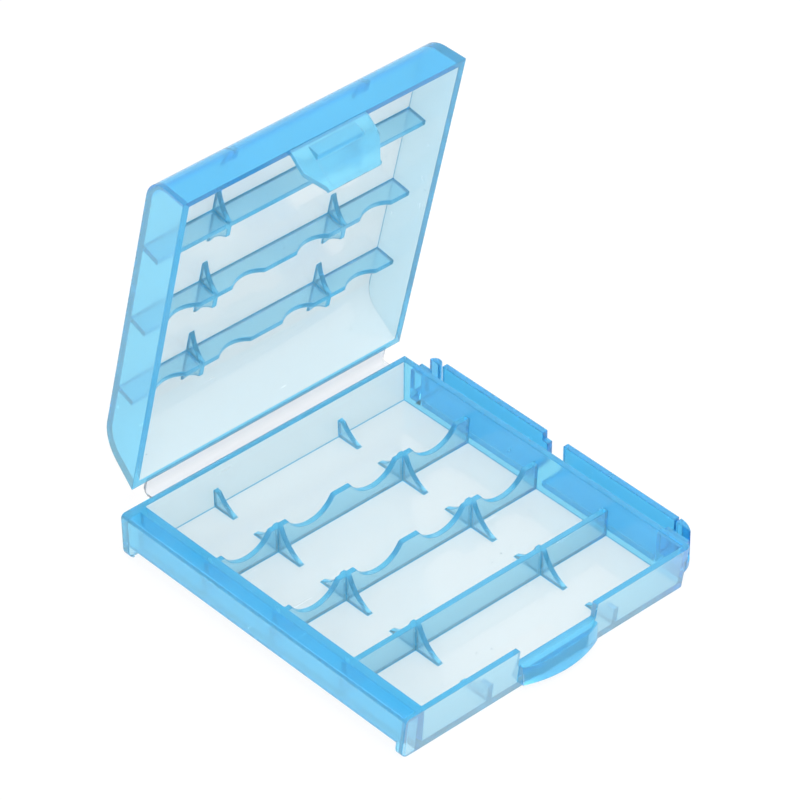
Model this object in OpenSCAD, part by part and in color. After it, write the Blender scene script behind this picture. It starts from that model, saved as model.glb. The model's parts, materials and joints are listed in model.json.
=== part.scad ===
// Battery storage case for four round cells, shown with its lid standing open.
// One translucent moulding: a tray, a lid on a living hinge, and a sprung tab.
// X runs along the hinge, +Y points to the hinge and +Z up. The origin is the
// centre of the tray's underside.

/* [Cells] */
// Diameter of a large cell, which lies along X in a bay
cell_d = 14.5; // [13:0.1:16]
// Diameter of a slim cell, which lies along Y in the scallops
slim_d = 10.5; // [9:0.1:12]
// Play round a cell, on the radius
cell_play = 0.15; // [0.05:0.05:0.4]

/* [Tray] */
// Clear length of the bays, along the hinge
bay_len = 54.4; // [48:0.1:66]
// Distance from one bay to the next
bay_pitch = 15.75; // [15:0.05:19]
// Clear depth of the bay beside the hinge
rear_bay = 14.5; // [14.5:0.1:18]
// Clear depth of the front bay, with room for the latch tab
front_bay = 16; // [15:0.1:20]
// Thickness of the tray's walls
wall_t = 1.1; // [0.8:0.05:1.6]
// Thickness of the tray's floor
floor_t = 0.95; // [0.6:0.05:1.6]
// Height of the tray from its underside to its rim
tray_h = 8.35; // [7.5:0.05:11]
// Lean of the inner side and rear wall faces, from rim to floor
draft_in = 0.4; // [0:0.05:0.6]
// Lean of the outer side and rear wall faces, from rim to underside
draft_out = 0.25; // [0:0.05:0.5]
// Lean of both faces of the front wall, from rim to underside
front_lean = 1.1; // [0.2:0.05:1.4]

/* [Ribs and fins] */
// Thickness of the cross ribs
rib_t = 1; // [0.7:0.05:1.6]
// Height of the tray's ribs above its floor
rib_h = 4.85; // [4:0.05:6]
// Height of a scallop's lowest point above the tray's floor
scallop_z = 2.05; // [1.6:0.05:3]
// Distance from one slim cell to the next
scallop_pitch = 13.1; // [12:0.1:16]
// Thickness of the fins that cradle a large cell
fin_t = 0.9; // [0.6:0.05:1.4]
// Height of the fins that stand against the front and rear walls
wall_fin_h = 3.15; // [2:0.05:4.5]
// How far short of a cell's lowest line the fins stop
fin_stop = 1.2; // [0.8:0.1:2]

/* [Lid] */
// Depth of the lid from its rim to its outer face
lid_h = 8.4; // [7.5:0.05:8.45]
// Thickness of the lid's walls
lid_wall_t = 1.2; // [0.8:0.05:1.6]
// Thickness of the lid's panel
lid_panel_t = 0.9; // [0.6:0.05:1.4]
// Lean of each lid wall, from rim to panel
lid_draft = 0.6; // [0:0.05:0.9]
// How much narrower than the tray the lid is, on each side
lid_inset = 0.2; // [0:0.05:0.5]
// Radius of the lid's front edge
lid_front_r = 4.8; // [2:0.1:6]
// How far the lid's front rim stands behind the tray's front rim
lid_front_inset = 0.3; // [0:0.1:1]
// How far the lid's front wall leans in, for each millimetre of depth
lid_front_lean = 0.16; // [0:0.01:0.3]
// Radius of the lid's edge beside the hinge
lid_rear_r = 6.4; // [3:0.1:7]
// How far the lid's rear wall leans in, for each millimetre of depth
lid_rear_lean = 0.49; // [0.2:0.01:0.6]
// Height of the lid's ribs below its panel
lid_rib_h = 3.6; // [2.5:0.05:4.5]
// Height of a scallop's lowest point below the lid's panel
lid_scallop_z = 2.5; // [1.5:0.05:3]
// How far the lid's ribs stand in front of the tray's ribs
lid_rib_shift = 1; // [0:0.1:1.2]

/* [Hinge] */
// Angle from closed to where the lid stands open
open_angle = 76.5; // [0:0.5:180]
// Distance from the tray's rear wall to the fold line
fold_gap = 1.4; // [1:0.1:3]
// Distance from the fold line to the lid's rear rim
lid_gap = 2.3; // [1.5:0.1:4]
// Thickness of the hinge strap's two flanges
strap_t = 0.5; // [0.3:0.05:0.8]
// Length of the hinge strap
strap_len = 50; // [30:0.5:60]
// Radius of the rolled web on the fold line
web_r = 0.3; // [0.25:0.05:0.4]
// Clearance between each flange's edge and the plane of the fold
fold_clear = 0.1; // [0.05:0.05:0.15]
// Clearance between the web and the lid's flange that turns round it
web_play = 0.05; // [0.02:0.01:0.08]
// Clearance between tray rim and lid rim when closed
rim_gap = 0.2; // [0.1:0.05:0.4]

/* [Catch and latch tab] */
// Width of the cut-out in the front wall
notch_w = 16; // [12:0.5:24]
// Height of the sill under the cut-out
sill_z = 5.2; // [3:0.1:6.5]
// Height of the catch's lower edge
catch_z = 1.6; // [1:0.1:3]
// How far the catch's lower edge stands out of the tray's front rim
catch_out = 2.1; // [1:0.1:3.5]
// How far the catch's upper edge stands out of the tray's front rim
catch_top_out = 1.5; // [0.5:0.1:2]
// How much further out the catch is at its middle than at its ends
catch_bow = 1.7; // [0.5:0.1:2]
// Width of the catch
catch_w = 15.6; // [10:0.1:15.8]
// Clearance on each side of the latch tab in the cut-out
tab_side_gap = 0.4; // [0.3:0.1:1.2]
// Thickness of the latch tab
tab_t = 0.9; // [0.7:0.05:1.2]
// Length of the latch tab's upper leg
tab_upper = 3.7; // [3:0.1:5]
// Length of the latch tab's lower leg
tab_lower = 3.7; // [2:0.1:4]
// Lean of the tab's upper leg towards the cells
tab_upper_lean = 28; // [24:1:32]
// Lean of the tab's lower leg towards the cells
tab_lower_lean = 27; // [20:1:40]
// Width of the latch tab's tip
tab_tip_w = 10.6; // [8:0.1:11]
// Width of the press pad on the tab
pad_w = 9.2; // [6:0.1:12]
// Depth of the relief in the floor under the tab
relief_d = 0.2; // [0:0.05:0.4]
// Width of that relief
relief_w = 11.6; // [8:0.1:16]
// Length of that relief, from the front wall
relief_l = 7.8; // [5:0.1:12]

/* [Side coupling] */
// How far the coupling channel stands out of the left wall
channel_out = 3; // [2.5:0.1:4]
// Thickness of the channel's flange and skirt
channel_t = 1.1; // [0.8:0.05:1.4]
// Height of the skirt's lower edge
skirt_z = 2.8; // [1.5:0.1:4]
// Radius of the lower corner of the channel's end tabs
end_tab_r = 1.6; // [0.5:0.1:2.5]
// Space between the side walls of two coupled cases
couple_gap = 5.1; // [4.8:0.1:5.4]
// Clearance between a neighbour's skirt and the slots in the stops
skirt_clear = 0.3; // [0.1:0.05:0.5]
// How far the rails stand out of the right wall
rail_out = 4.7; // [4:0.1:6]
// Thickness of the rails
rail_t = 1.1; // [0.8:0.05:1.3]
// Height of the rails' underside
rail_z = 1.4; // [0.5:0.1:2]
// Height of the rails' upright lip
rail_top = 7.1; // [5:0.1:7.2]
// Ends of the rear rail, along Y
rail_rear_y = [4.2, 27.6];
// Ends of the front rail, along Y
rail_front_y = [-25.2, -0.4];
// How far the rear rail's lower half runs past its upper half
rail_step = 1.1; // [0:0.1:2]
// Ends of the rear stop, along Y
stop_rear_y = [28, 30.4];
// Ends of the front stop, along Y
stop_front_y = [-30.6, -25.6];
// Size of the relief under the front right corner, along X
corner_relief = 0.9; // [0:0.1:1.5]
// Height of that relief
corner_relief_z = 5.4; // [3:0.1:7]

/* [Hidden] */
$fn = 64;
EPS = 0.01;

// Tray, derived
bay_count = 4;
bay_clear = bay_pitch - rib_t;
inner_dep = rear_bay + front_bay + (bay_count - 2) * bay_clear + (bay_count - 1) * rib_t;
half_len = bay_len / 2;             // inner half length at the rim
half_dep = inner_dep / 2;           // inner half depth at the rim
out_len = half_len + wall_t;        // outer half length at the rim
out_dep = half_dep + wall_t;        // outer half depth at the rim
corner_in = 0.6;                    // the end walls' share of each long wall, past the draft
split_x = half_len - draft_in - corner_in;
big = 3 * (out_len + out_dep);      // larger than the case, for cutting
cell_r = cell_d / 2 + cell_play;
slim_r = slim_d / 2 + cell_play;
rib_top = floor_t + rib_h;
cell_sink = 0.02;                   // how far the fins let a large cell settle
cell_z = floor_t + cell_d / 2 - cell_sink;
slim_z = floor_t + scallop_z + slim_r;
// Front face of each tray rib, from the hinge forwards
rib_front = [for (i = [0 : bay_count - 2]) half_dep - rear_bay - rib_t - i * bay_pitch];
// Rear and front limit of each bay
bay_rear = [for (i = [0 : bay_count - 1]) i == 0 ? half_dep : rib_front[i - 1]];
bay_front = [for (i = [0 : bay_count - 1]) i == bay_count - 1 ? -half_dep : rib_front[i] + rib_t];
// Axis of the cell in each bay, seated against the bay's rear side
cell_y = [for (i = [0 : bay_count - 1]) bay_rear[i] - min(cell_r, (bay_rear[i] - bay_front[i]) / 2)];
scallop_x = [for (i = [-1.5 : 1 : 1.5]) i * scallop_pitch];
fin_x = scallop_pitch;              // the fins stand on the peaks beside the middle one

// Hinge and lid, derived: u runs from the fold line across the closed lid, w up from its rim
fold_y = out_dep + fold_gap;
fold_z = tray_h + rim_gap / 2;
rim_w = rim_gap / 2;                // lid rim above the fold line when closed
lid_u0 = lid_gap;
lid_u1 = fold_y + out_dep - lid_front_inset;
lid_half = out_len - lid_inset;
lid_in_w = lid_h - lid_panel_t;     // panel's inner face
lid_split = lid_half - lid_draft - lid_wall_t;
lid_cell_w = lid_in_w - cell_d / 2 + cell_sink;
lid_slim_w = lid_in_w - lid_scallop_z - slim_r;

// Latch tab, derived
tab_root_r = tab_t / 2;
tab_root_gap = 0.15;                // between the tab's root and the lid's rim
tab_u = lid_u1 - lid_wall_t / 2;
tab_w = rim_w - tab_root_gap - tab_root_r;
tab_half = notch_w / 2 - tab_side_gap;
wave_n = 3;                         // waves along the tab's grip edge
wave_h = 0.45;
pad_gap = 0.3;                      // between the press pad and the sill
tab_sill_gap = 0.14;                // between the sill and the tab when it is flexed outwards
tab_flex_out = 3;                   // how far the tab flexes outwards, in degrees
pad_top = 0.3;                      // from the tab's root down to the pad
shoulder_part = 0.9;                // share of the tab's upper leg that has its full width

// ---- shared shapes ----

// How far the wall faces lean in at height z
function in_at(z) = draft_in * (tray_h - z) / (tray_h - floor_t);
function out_at(z) = draft_out * (tray_h - z) / tray_h;
function front_at(z) = front_lean * (tray_h - z) / tray_h;

// A block with leaning sides from z0 to z1, given its half length, front and rear at each
module leaning_block(z0, size0, z1, size1) {
  intersection() {
    rotate([90, 0, 0])
      linear_extrude(big, center = true)
        polygon([[-size0[0], z0], [size0[0], z0], [size1[0], z1], [-size1[0], z1]]);
    rotate([90, 0, 90])
      linear_extrude(big, center = true)
        polygon([[size0[1], z0], [size0[2], z0], [size1[2], z1], [size1[1], z1]]);
  }
}

function outer_at(z) = [out_len - out_at(z), -out_dep + front_at(z), out_dep - out_at(z)];
function inner_at(z) = [half_len - in_at(z), -half_dep + front_at(z), half_dep - in_at(z)];

module tray_outer(z0 = 0) leaning_block(z0, outer_at(z0), tray_h, outer_at(tray_h));

module tray_inner(z1 = tray_h) leaning_block(floor_t, inner_at(floor_t), z1, inner_at(z1));

// The tray's walls; the cavity is carried on above the rim, so that no skin is left there
module tray_ring() {
  difference() {
    tray_outer(floor_t);
    tray_inner(tray_h + 1);
  }
}

// Keeps what lies between x0 and x1 and between y0 and y1
module keep(x0, x1, y0, y1) {
  intersection() {
    children();
    translate([x0, y0, -big]) cube([x1 - x0, y1 - y0, 2 * big]);
  }
}

// A rib's outline in X and height, with or without the four scallops
module rib_outline(half, base_z, top_z, slim_axis_z, scalloped) {
  difference() {
    translate([-half, min(base_z, top_z)]) square([2 * half, abs(top_z - base_z)]);
    if (scalloped)
      for (x = scallop_x) translate([x, slim_axis_z]) circle(slim_r);
  }
}

// ---- tray ----

module tray_floor() {
  color("LightSkyBlue", 0.5)
    difference() {
      leaning_block(0, outer_at(0), floor_t, outer_at(floor_t));
      if (relief_d > 0)
        translate([-relief_w / 2, -half_dep + front_at(floor_t), floor_t - relief_d])
          cube([relief_w, relief_l - front_at(floor_t), relief_d + 1]);
      corner_relief_cut();
    }
}

// A length of the front wall, up to height z1
module front_wall(x0, x1, z1) {
  inner0 = inner_at(floor_t)[1];
  outer0 = outer_at(floor_t)[1];
  translate([x0, 0, 0]) rotate([90, 0, 90]) linear_extrude(x1 - x0)
    polygon([[inner0, floor_t], [outer0, floor_t], [outer_at(z1)[1], z1], [inner_at(z1)[1], z1]]);
}

module tray_rear_wall()
  color("LightSkyBlue", 0.6)
    translate([-split_x, 0, 0]) rotate([90, 0, 90]) linear_extrude(2 * split_x)
      polygon([[inner_at(floor_t)[2], floor_t], [outer_at(floor_t)[2], floor_t],
               [outer_at(tray_h)[2], tray_h], [inner_at(tray_h)[2], tray_h]]);

module tray_left_wall()
  color("DeepSkyBlue", 0.6) keep(-big, -split_x, -big, big) tray_ring();

module tray_right_wall()
  color("DeepSkyBlue", 0.6)
    difference() {
      keep(split_x, big, -big, big) tray_ring();
      corner_relief_cut();
    }

module corner_relief_cut() {
  if (corner_relief > 0)
    translate([out_len - corner_relief, -out_dep - 1, -1])
      cube([corner_relief + 1, 1 + 2 * wall_t, 1 + corner_relief_z]);
}

module tray_front_wall_left()
  color("LightSkyBlue", 0.6) front_wall(-split_x, -notch_w / 2, tray_h);

module tray_front_wall_right()
  color("LightSkyBlue", 0.6) front_wall(notch_w / 2, split_x, tray_h);

// The wall under the cut-out, with its bowed catch
module catch_lip() {
  bow_r = (pow(catch_w / 2, 2) + pow(catch_bow, 2)) / (2 * catch_bow);
  root_y = -out_dep + front_at(catch_z) + wall_t / 2;
  color("DeepSkyBlue", 0.7)
    difference() {
      sill_and_catch(bow_r, root_y);
      tab_way();
    }
}

module sill_and_catch(bow_r, root_y) {
  front_wall(-notch_w / 2, notch_w / 2, sill_z);
  intersection() {
    translate([0, -out_dep - catch_out + bow_r, 0]) cylinder(r = bow_r, h = sill_z);
    translate([-catch_w / 2, 0, 0]) rotate([90, 0, 90]) linear_extrude(catch_w)
      polygon([[root_y, catch_z], [-out_dep - catch_out, catch_z],
               [-out_dep - catch_top_out, sill_z],
               [-out_dep + front_at(sill_z) + wall_t / 2, sill_z]]);
  }
}

// What the tab takes up behind the sill when the lid is closed and the tab is flexed outwards
module tab_way() {
  upper_a = tab_upper_lean - tab_flex_out;
  lower_a = tab_lower_lean - tab_flex_out;
  out = tab_root_r + tab_sill_gap;
  root = [fold_y - tab_u, fold_z + tab_w];
  p0 = root - [cos(upper_a), sin(upper_a)] * out;
  p1 = p0 + [sin(upper_a), -cos(upper_a)] * tab_upper;
  p2 = p1 + [sin(lower_a), -cos(lower_a)] * tab_lower;
  rotate([90, 0, 90]) linear_extrude(notch_w + 2, center = true)
    polygon([p0, p1, p2, [p2[0] + tab_upper, p2[1]], [p2[0] + tab_upper, p0[1]]]);
}

module tray_rib(i, scalloped) {
  color("DodgerBlue", 0.6)
    intersection() {
      tray_inner();
      translate([0, rib_front[i] + rib_t, 0]) rotate([90, 0, 0])
        linear_extrude(rib_t) rib_outline(half_len, floor_t, rib_top, slim_z, scalloped);
    }
}

module tray_rib_rear() tray_rib(0, true);
module tray_rib_middle() tray_rib(1, true);
module tray_rib_front() tray_rib(2, false);

// The fins at one place along X: in each bay, what a cell leaves free under it
module tray_fins(x) {
  color("DodgerBlue", 0.6)
    intersection() {
      tray_inner();
      union()
        for (i = [0 : bay_count - 1])
          difference() {
            translate([x - fin_t / 2, bay_front[i], floor_t])
              cube([fin_t, bay_rear[i] - bay_front[i], rib_h]);
            translate([x, cell_y[i], cell_z]) rotate([0, 90, 0])
              cylinder(r = cell_r, h = 3 * fin_t, center = true);
            translate([x - fin_t, cell_y[i] - fin_stop, 0])
              cube([2 * fin_t, 2 * fin_stop, cell_z]);
            if (i == 0)
              translate([x - fin_t, cell_y[i], floor_t + wall_fin_h])
                cube([2 * fin_t, half_dep, rib_h]);
            if (i == bay_count - 1)
              translate([x - fin_t, -half_dep - 1, floor_t + wall_fin_h])
                cube([2 * fin_t, half_dep + cell_y[i] + 1, rib_h]);
          }
    }
}

module tray_fins_left() tray_fins(-fin_x);
module tray_fins_right() tray_fins(fin_x);

// ---- side coupling ----

channel_x = -out_len - channel_out;

module channel_flange()
  color("DeepSkyBlue", 0.6)
    difference() {
      intersection() {
        translate([channel_x, -half_dep, tray_h - channel_t])
          cube([channel_out + draft_out, 2 * half_dep, channel_t]);
        between_end_tabs();
      }
      tray_outer();
    }

module channel_skirt()
  color("DeepSkyBlue", 0.6)
    intersection() {
      translate([channel_x, -half_dep, skirt_z])
        cube([channel_t, 2 * half_dep, tray_h - channel_t - skirt_z]);
      between_end_tabs();
    }

// A plate that carries an end wall on past the left wall; y0 and y1 are its faces at z = 0 and rim
module end_tab(y0, y1) {
  color("DeepSkyBlue", 0.6)
    difference() {
      intersection() {
        rotate([90, 0, 0]) linear_extrude(big, center = true)
          union() {
            translate([channel_x, end_tab_r]) square([channel_out + draft_out, tray_h - end_tab_r]);
            translate([channel_x + end_tab_r, 0])
              square([channel_out + draft_out - end_tab_r, end_tab_r + EPS]);
            translate([channel_x + end_tab_r, end_tab_r]) circle(end_tab_r);
          }
        rotate([90, 0, 90]) linear_extrude(big, center = true)
          polygon([[y0[0], 0], [y0[1], 0], [y1[1], tray_h], [y1[0], tray_h]]);
      }
      tray_outer();
    }
}

module end_tab_rear()
  end_tab([half_dep - draft_out, out_dep - draft_out], [half_dep, out_dep]);

module end_tab_front()
  end_tab([-out_dep + front_lean, -half_dep + front_lean], [-out_dep, -half_dep]);

// What the end tabs leave free between them
module between_end_tabs() {
  rotate([90, 0, 90]) linear_extrude(big, center = true)
    polygon([[-half_dep + front_lean, 0], [half_dep - draft_out, 0],
             [half_dep, tray_h], [-half_dep, tray_h]]);
}

rail_x = out_len + rail_out;

module rail_shelf(span) {
  color("DeepSkyBlue", 0.6)
    difference() {
      translate([out_len - draft_out, span[0], rail_z])
        cube([rail_out + draft_out, span[1] - span[0], rail_t]);
      tray_outer();
    }
}

module rail_shelf_rear() rail_shelf([rail_rear_y[0] - rail_step, rail_rear_y[1]]);
module rail_shelf_front() rail_shelf(rail_front_y);

module rail_lip_rear() {
  lip_h = rail_top - rail_z - rail_t;
  step_h = lip_h * 2 / 3;
  color("DeepSkyBlue", 0.6)
    union() {
      translate([rail_x - rail_t, rail_rear_y[0], rail_z + rail_t])
        cube([rail_t, rail_rear_y[1] - rail_rear_y[0], lip_h]);
      translate([rail_x - rail_t, rail_rear_y[0] - rail_step, rail_z + rail_t])
        cube([rail_t, rail_step + EPS, step_h]);
    }
}

module rail_lip_front()
  color("DeepSkyBlue", 0.6)
    translate([rail_x - rail_t, rail_front_y[0], rail_z + rail_t])
      cube([rail_t, rail_front_y[1] - rail_front_y[0], rail_top - rail_z - rail_t]);

// Where a coupled neighbour's skirt comes down beside this case, along X
skirt_slot = [out_len + couple_gap - channel_out - skirt_clear,
              out_len + couple_gap - channel_out + channel_t + skirt_clear];

// A stop from its outline, slotted for the neighbour's skirt down to the rails' shelf
module rail_stop() {
  color("DeepSkyBlue", 0.6)
    difference() {
      translate([0, 0, rail_z]) linear_extrude(rail_top - rail_z) children();
      translate([skirt_slot[0], -big / 2, rail_z + rail_t])
        cube([skirt_slot[1] - skirt_slot[0], big, rail_top]);
      tray_outer();
    }
}

// A tongue with a round nose, behind the rear rail
module rail_stop_rear() {
  nose_r = (stop_rear_y[1] - stop_rear_y[0]) / 2;
  rail_stop() union() {
    translate([out_len - draft_out, stop_rear_y[0]])
      square([rail_out + draft_out - nose_r, 2 * nose_r]);
    translate([rail_x - nose_r, stop_rear_y[0] + nose_r]) circle(nose_r);
  }
}

// A quarter-round nose, in front of the front rail
module rail_stop_front() {
  nose_l = stop_front_y[1] - stop_front_y[0];
  rail_stop() intersection() {
    translate([out_len - draft_out, stop_front_y[0]]) square([rail_out + draft_out, nose_l]);
    translate([rail_x - nose_l, stop_front_y[1]]) circle(nose_l);
  }
}

// ---- hinge ----

// The strap's flange between the tray's rear wall and the fold line
module hinge_flange_tray()
  color("AliceBlue", 0.7)
    difference() {
      translate([-strap_len / 2, out_dep - draft_out, tray_h - strap_t])
        cube([strap_len, fold_gap + draft_out - fold_clear, strap_t]);
      tray_outer();
      fold_rod(web_r, strap_len + 2);
    }

// A rod about the fold line
module fold_rod(r, length) {
  translate([0, fold_y, fold_z]) rotate([0, 90, 0]) cylinder(r = r, h = length, center = true);
}

module hinge_web()
  color("AliceBlue", 0.7) fold_rod(web_r, strap_len);

// ---- lid, drawn closed and turned about the fold line ----

module opened() {
  translate([0, fold_y, fold_z]) rotate([-open_angle, 0, 0]) children();
}

// Where a line that leans in from the rim meets the lid's top, and how far back along the top
// the rounding of that corner reaches
function lean_reach(lean, r) = r * tan((90 - atan(lean)) / 2);

// A point u across the lid and w above its rim is at y = -u, z = w here
module lid_outline(inset_wall, inset_panel) {
  top = lid_h - inset_panel;
  front_r = max(lid_front_r - inset_wall, 0.5);
  rear_r = max(lid_rear_r - inset_wall, 0.5);
  front_a = atan(lid_front_lean);
  rear_a = atan(lid_rear_lean);
  // the leaning lines' places at the rim and at the top
  front = lid_u1 - inset_wall / cos(front_a);
  rear = lid_u0 + inset_wall / cos(rear_a);
  front_top = front - lid_front_lean * (top - rim_w);
  rear_top = rear + lid_rear_lean * (top - rim_w);
  front_reach = lean_reach(lid_front_lean, front_r);
  rear_reach = lean_reach(lid_rear_lean, rear_r);
  intersection() {
    translate([-lid_u1 - 1, rim_w]) square([lid_u1 + 1, lid_h]);
    union() {
      polygon([[-rear + lid_rear_lean, rim_w - 1],
               [-rear_top + rear_reach * sin(rear_a), top - rear_reach * cos(rear_a)],
               [-rear_top - rear_reach, top],
               [-front_top + front_reach, top],
               [-front_top - front_reach * sin(front_a), top - front_reach * cos(front_a)],
               [-front - lid_front_lean, rim_w - 1]]);
      translate([-front_top + front_reach, top - front_r]) circle(front_r);
      translate([-rear_top - rear_reach, top - rear_r]) circle(rear_r);
    }
  }
}

module lid_body(inset_wall, inset_panel) {
  w1 = lid_h - inset_panel;
  half0 = lid_half - inset_wall;
  half1 = half0 - lid_draft * (w1 - rim_w) / (lid_h - rim_w);
  intersection() {
    rotate([90, 0, 90]) linear_extrude(2 * lid_half, center = true)
      lid_outline(inset_wall, inset_panel);
    rotate([90, 0, 0]) linear_extrude(lid_u1 + 1)
      polygon([[-half0, rim_w], [half0, rim_w], [half1, w1], [-half1, w1]]);
  }
}

module lid_inner() lid_body(lid_wall_t, lid_panel_t);

// The cavity, carried on below the rim so that no skin is left there
module lid_cavity() {
  lid_inner();
  intersection() {
    translate([0, 0, -EPS]) lid_inner();
    translate([-big / 2, -big / 2, rim_w - 1]) cube([big, big, 1 + EPS]);
  }
}

module lid_shell() {
  difference() {
    lid_body(0, 0);
    lid_cavity();
  }
}

lid_front_u = lid_u1 - lid_front_lean * (lid_h - rim_w) - lean_reach(lid_front_lean, lid_front_r);
lid_rear_u = lid_u0 + lid_rear_lean * (lid_h - rim_w) + lean_reach(lid_rear_lean, lid_rear_r);

module lid_panel()
  color("LightSkyBlue", 0.5)
    opened() keep(-lid_split, lid_split, -lid_front_u, -lid_rear_u) lid_shell();

module lid_front_wall()
  color("DeepSkyBlue", 0.6)
    opened() keep(-lid_split, lid_split, -big, -lid_front_u) lid_shell();

module lid_rear_wall()
  color("LightSkyBlue", 0.6)
    opened() keep(-lid_split, lid_split, -lid_rear_u, big) lid_shell();

module lid_left_wall()
  color("DeepSkyBlue", 0.6) opened() keep(-big, -lid_split, -big, big) lid_shell();

module lid_right_wall()
  color("DeepSkyBlue", 0.6) opened() keep(lid_split, big, -big, big) lid_shell();

// Front face of each lid rib, as a distance from the fold line
lid_rib_u = [for (y = rib_front) fold_y - y + lid_rib_shift];

module lid_rib(i, scalloped) {
  color("DodgerBlue", 0.6)
    opened() intersection() {
      lid_inner();
      translate([0, -lid_rib_u[i] + rib_t, 0]) rotate([90, 0, 0])
        linear_extrude(rib_t)
          rib_outline(lid_half, lid_in_w, lid_in_w - lid_rib_h, lid_slim_w, scalloped);
    }
}

module lid_rib_rear() lid_rib(0, true);
module lid_rib_middle() lid_rib(1, true);
module lid_rib_front() lid_rib(2, false);

// The lid's fins at one place along X, between its ribs
module lid_fins(x) {
  u_rear = [for (i = [0 : bay_count - 1]) i == 0 ? 0 : lid_rib_u[i - 1]];
  u_front = [for (i = [0 : bay_count - 1]) i == bay_count - 1 ? lid_u1 : lid_rib_u[i] - rib_t];
  color("DodgerBlue", 0.6)
    opened() intersection() {
      lid_inner();
      union()
        for (i = [0 : bay_count - 1])
          difference() {
            translate([x - fin_t / 2, -u_front[i], lid_in_w - lid_rib_h])
              cube([fin_t, u_front[i] - u_rear[i], lid_rib_h]);
            translate([x, cell_y[i] - fold_y, lid_cell_w]) rotate([0, 90, 0])
              cylinder(r = cell_r, h = 3 * fin_t, center = true);
            translate([x - fin_t, cell_y[i] - fold_y - fin_stop, 0])
              cube([2 * fin_t, 2 * fin_stop, lid_h]);
            if (i == bay_count - 1)
              translate([x - fin_t, -lid_u1 - 1, lid_in_w - lid_rib_h - 1])
                cube([2 * fin_t, lid_u1 + 1 + cell_y[i] - fold_y, 1 + lid_rib_h - wall_fin_h]);
          }
    }
}

module lid_fins_left() lid_fins(-fin_x);
module lid_fins_right() lid_fins(fin_x);

// The strap's flange between the fold line and the lid's rear wall
module hinge_flange_lid() {
  flange_end = lid_u0 + lid_rear_lean * (rim_w + strap_t);
  color("AliceBlue", 0.7)
    difference() {
      opened() difference() {
        translate([-strap_len / 2, -flange_end, rim_w])
          cube([strap_len, flange_end - fold_clear, strap_t]);
        lid_body(0, 0);
      }
      fold_rod(web_r + web_play, strap_len + 2);
    }
}

// ---- latch tab ----

// The tab's section: a round root, an upper leg and a lower leg, both leaning to the cells
module tab_section() {
  knee = [sin(tab_upper_lean), -cos(tab_upper_lean)] * tab_upper;
  tip = knee + [sin(tab_lower_lean), -cos(tab_lower_lean)] * tab_lower;
  n1 = [cos(tab_upper_lean), sin(tab_upper_lean)] * tab_root_r;
  n2 = [cos(tab_lower_lean), sin(tab_lower_lean)] * tab_root_r;
  nm = (n1 + n2) / 2;
  circle(tab_root_r);
  polygon([-n1, knee - nm, tip - n2, tip + n2, knee + nm, n1]);
}

// The tab's front outline: full width at the root, narrow and wavy at the tip
module tab_front() {
  shoulder = tab_upper * cos(tab_upper_lean) * shoulder_part;
  drop = tab_upper * cos(tab_upper_lean) + tab_lower * cos(tab_lower_lean) + tab_root_r;
  tip_h = tab_tip_w / 2;
  steps = 36;
  polygon(concat(
    [[tab_half, tab_root_r + 0.5], [-tab_half, tab_root_r + 0.5],
     [-tab_half, -shoulder], [-tip_h, -drop + 2 * wave_h]],
    [for (k = [0 : steps])
      [-tip_h + k * 2 * tip_h / steps,
       -drop + wave_h * (0.5 + 0.5 * cos(k * 360 * wave_n / steps))]],
    [[tip_h, -drop + 2 * wave_h], [tab_half, -shoulder]]));
}

module at_tab_root()
  opened() translate([0, -tab_u, tab_w]) children();

module latch_tab()
  color("DeepSkyBlue", 0.7)
    at_tab_root() intersection() {
      rotate([90, 0, 90]) linear_extrude(2 * tab_half, center = true) tab_section();
      rotate([90, 0, 0]) linear_extrude(big, center = true) tab_front();
    }

// The press pad: a wedge on the tab's outer face that fills the cut-out above the sill
module latch_pad() {
  depth = fold_z + tab_w - sill_z - pad_gap;
  face = lid_wall_t / 2;
  color("DeepSkyBlue", 0.7)
    at_tab_root() rotate([90, 0, 90]) linear_extrude(pad_w, center = true)
      difference() {
        polygon([[-face, -pad_top], [-face, -depth],
                 [tab_upper * sin(tab_upper_lean), -depth], [0, -pad_top]]);
        tab_section();
        // nothing is left on the inner side of the tab
        polygon([[0, 0], [sin(tab_upper_lean), -cos(tab_upper_lean)] * tab_upper,
                 [tab_upper, -tab_upper], [tab_upper, 0]]);
      }
}

tray_floor();
tray_rear_wall();
tray_left_wall();
tray_right_wall();
tray_front_wall_left();
tray_front_wall_right();
catch_lip();
tray_rib_rear();
tray_rib_middle();
tray_rib_front();
tray_fins_left();
tray_fins_right();
channel_flange();
channel_skirt();
end_tab_rear();
end_tab_front();
rail_shelf_rear();
rail_lip_rear();
rail_shelf_front();
rail_lip_front();
rail_stop_rear();
rail_stop_front();
hinge_flange_tray();
hinge_web();
hinge_flange_lid();
lid_panel();
lid_front_wall();
lid_rear_wall();
lid_left_wall();
lid_right_wall();
lid_rib_rear();
lid_rib_middle();
lid_rib_front();
lid_fins_left();
lid_fins_right();
latch_tab();
latch_pad();
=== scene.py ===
# %% [markdown]
# # A translucent battery storage case
# The object is one moulding in light blue polypropylene: a ribbed tray, a ribbed lid on a
# living hinge, and a latch tab on the lid's rim. The sizes come from the CAD frame, which is
# loaded first. Everything is in metres, and the frame's own axes are used: X along the
# hinge, Y back to the hinge, Z up.

# %% Load the frame
import json
import math

import bmesh
import bpy
from mathutils import Matrix, Vector


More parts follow.
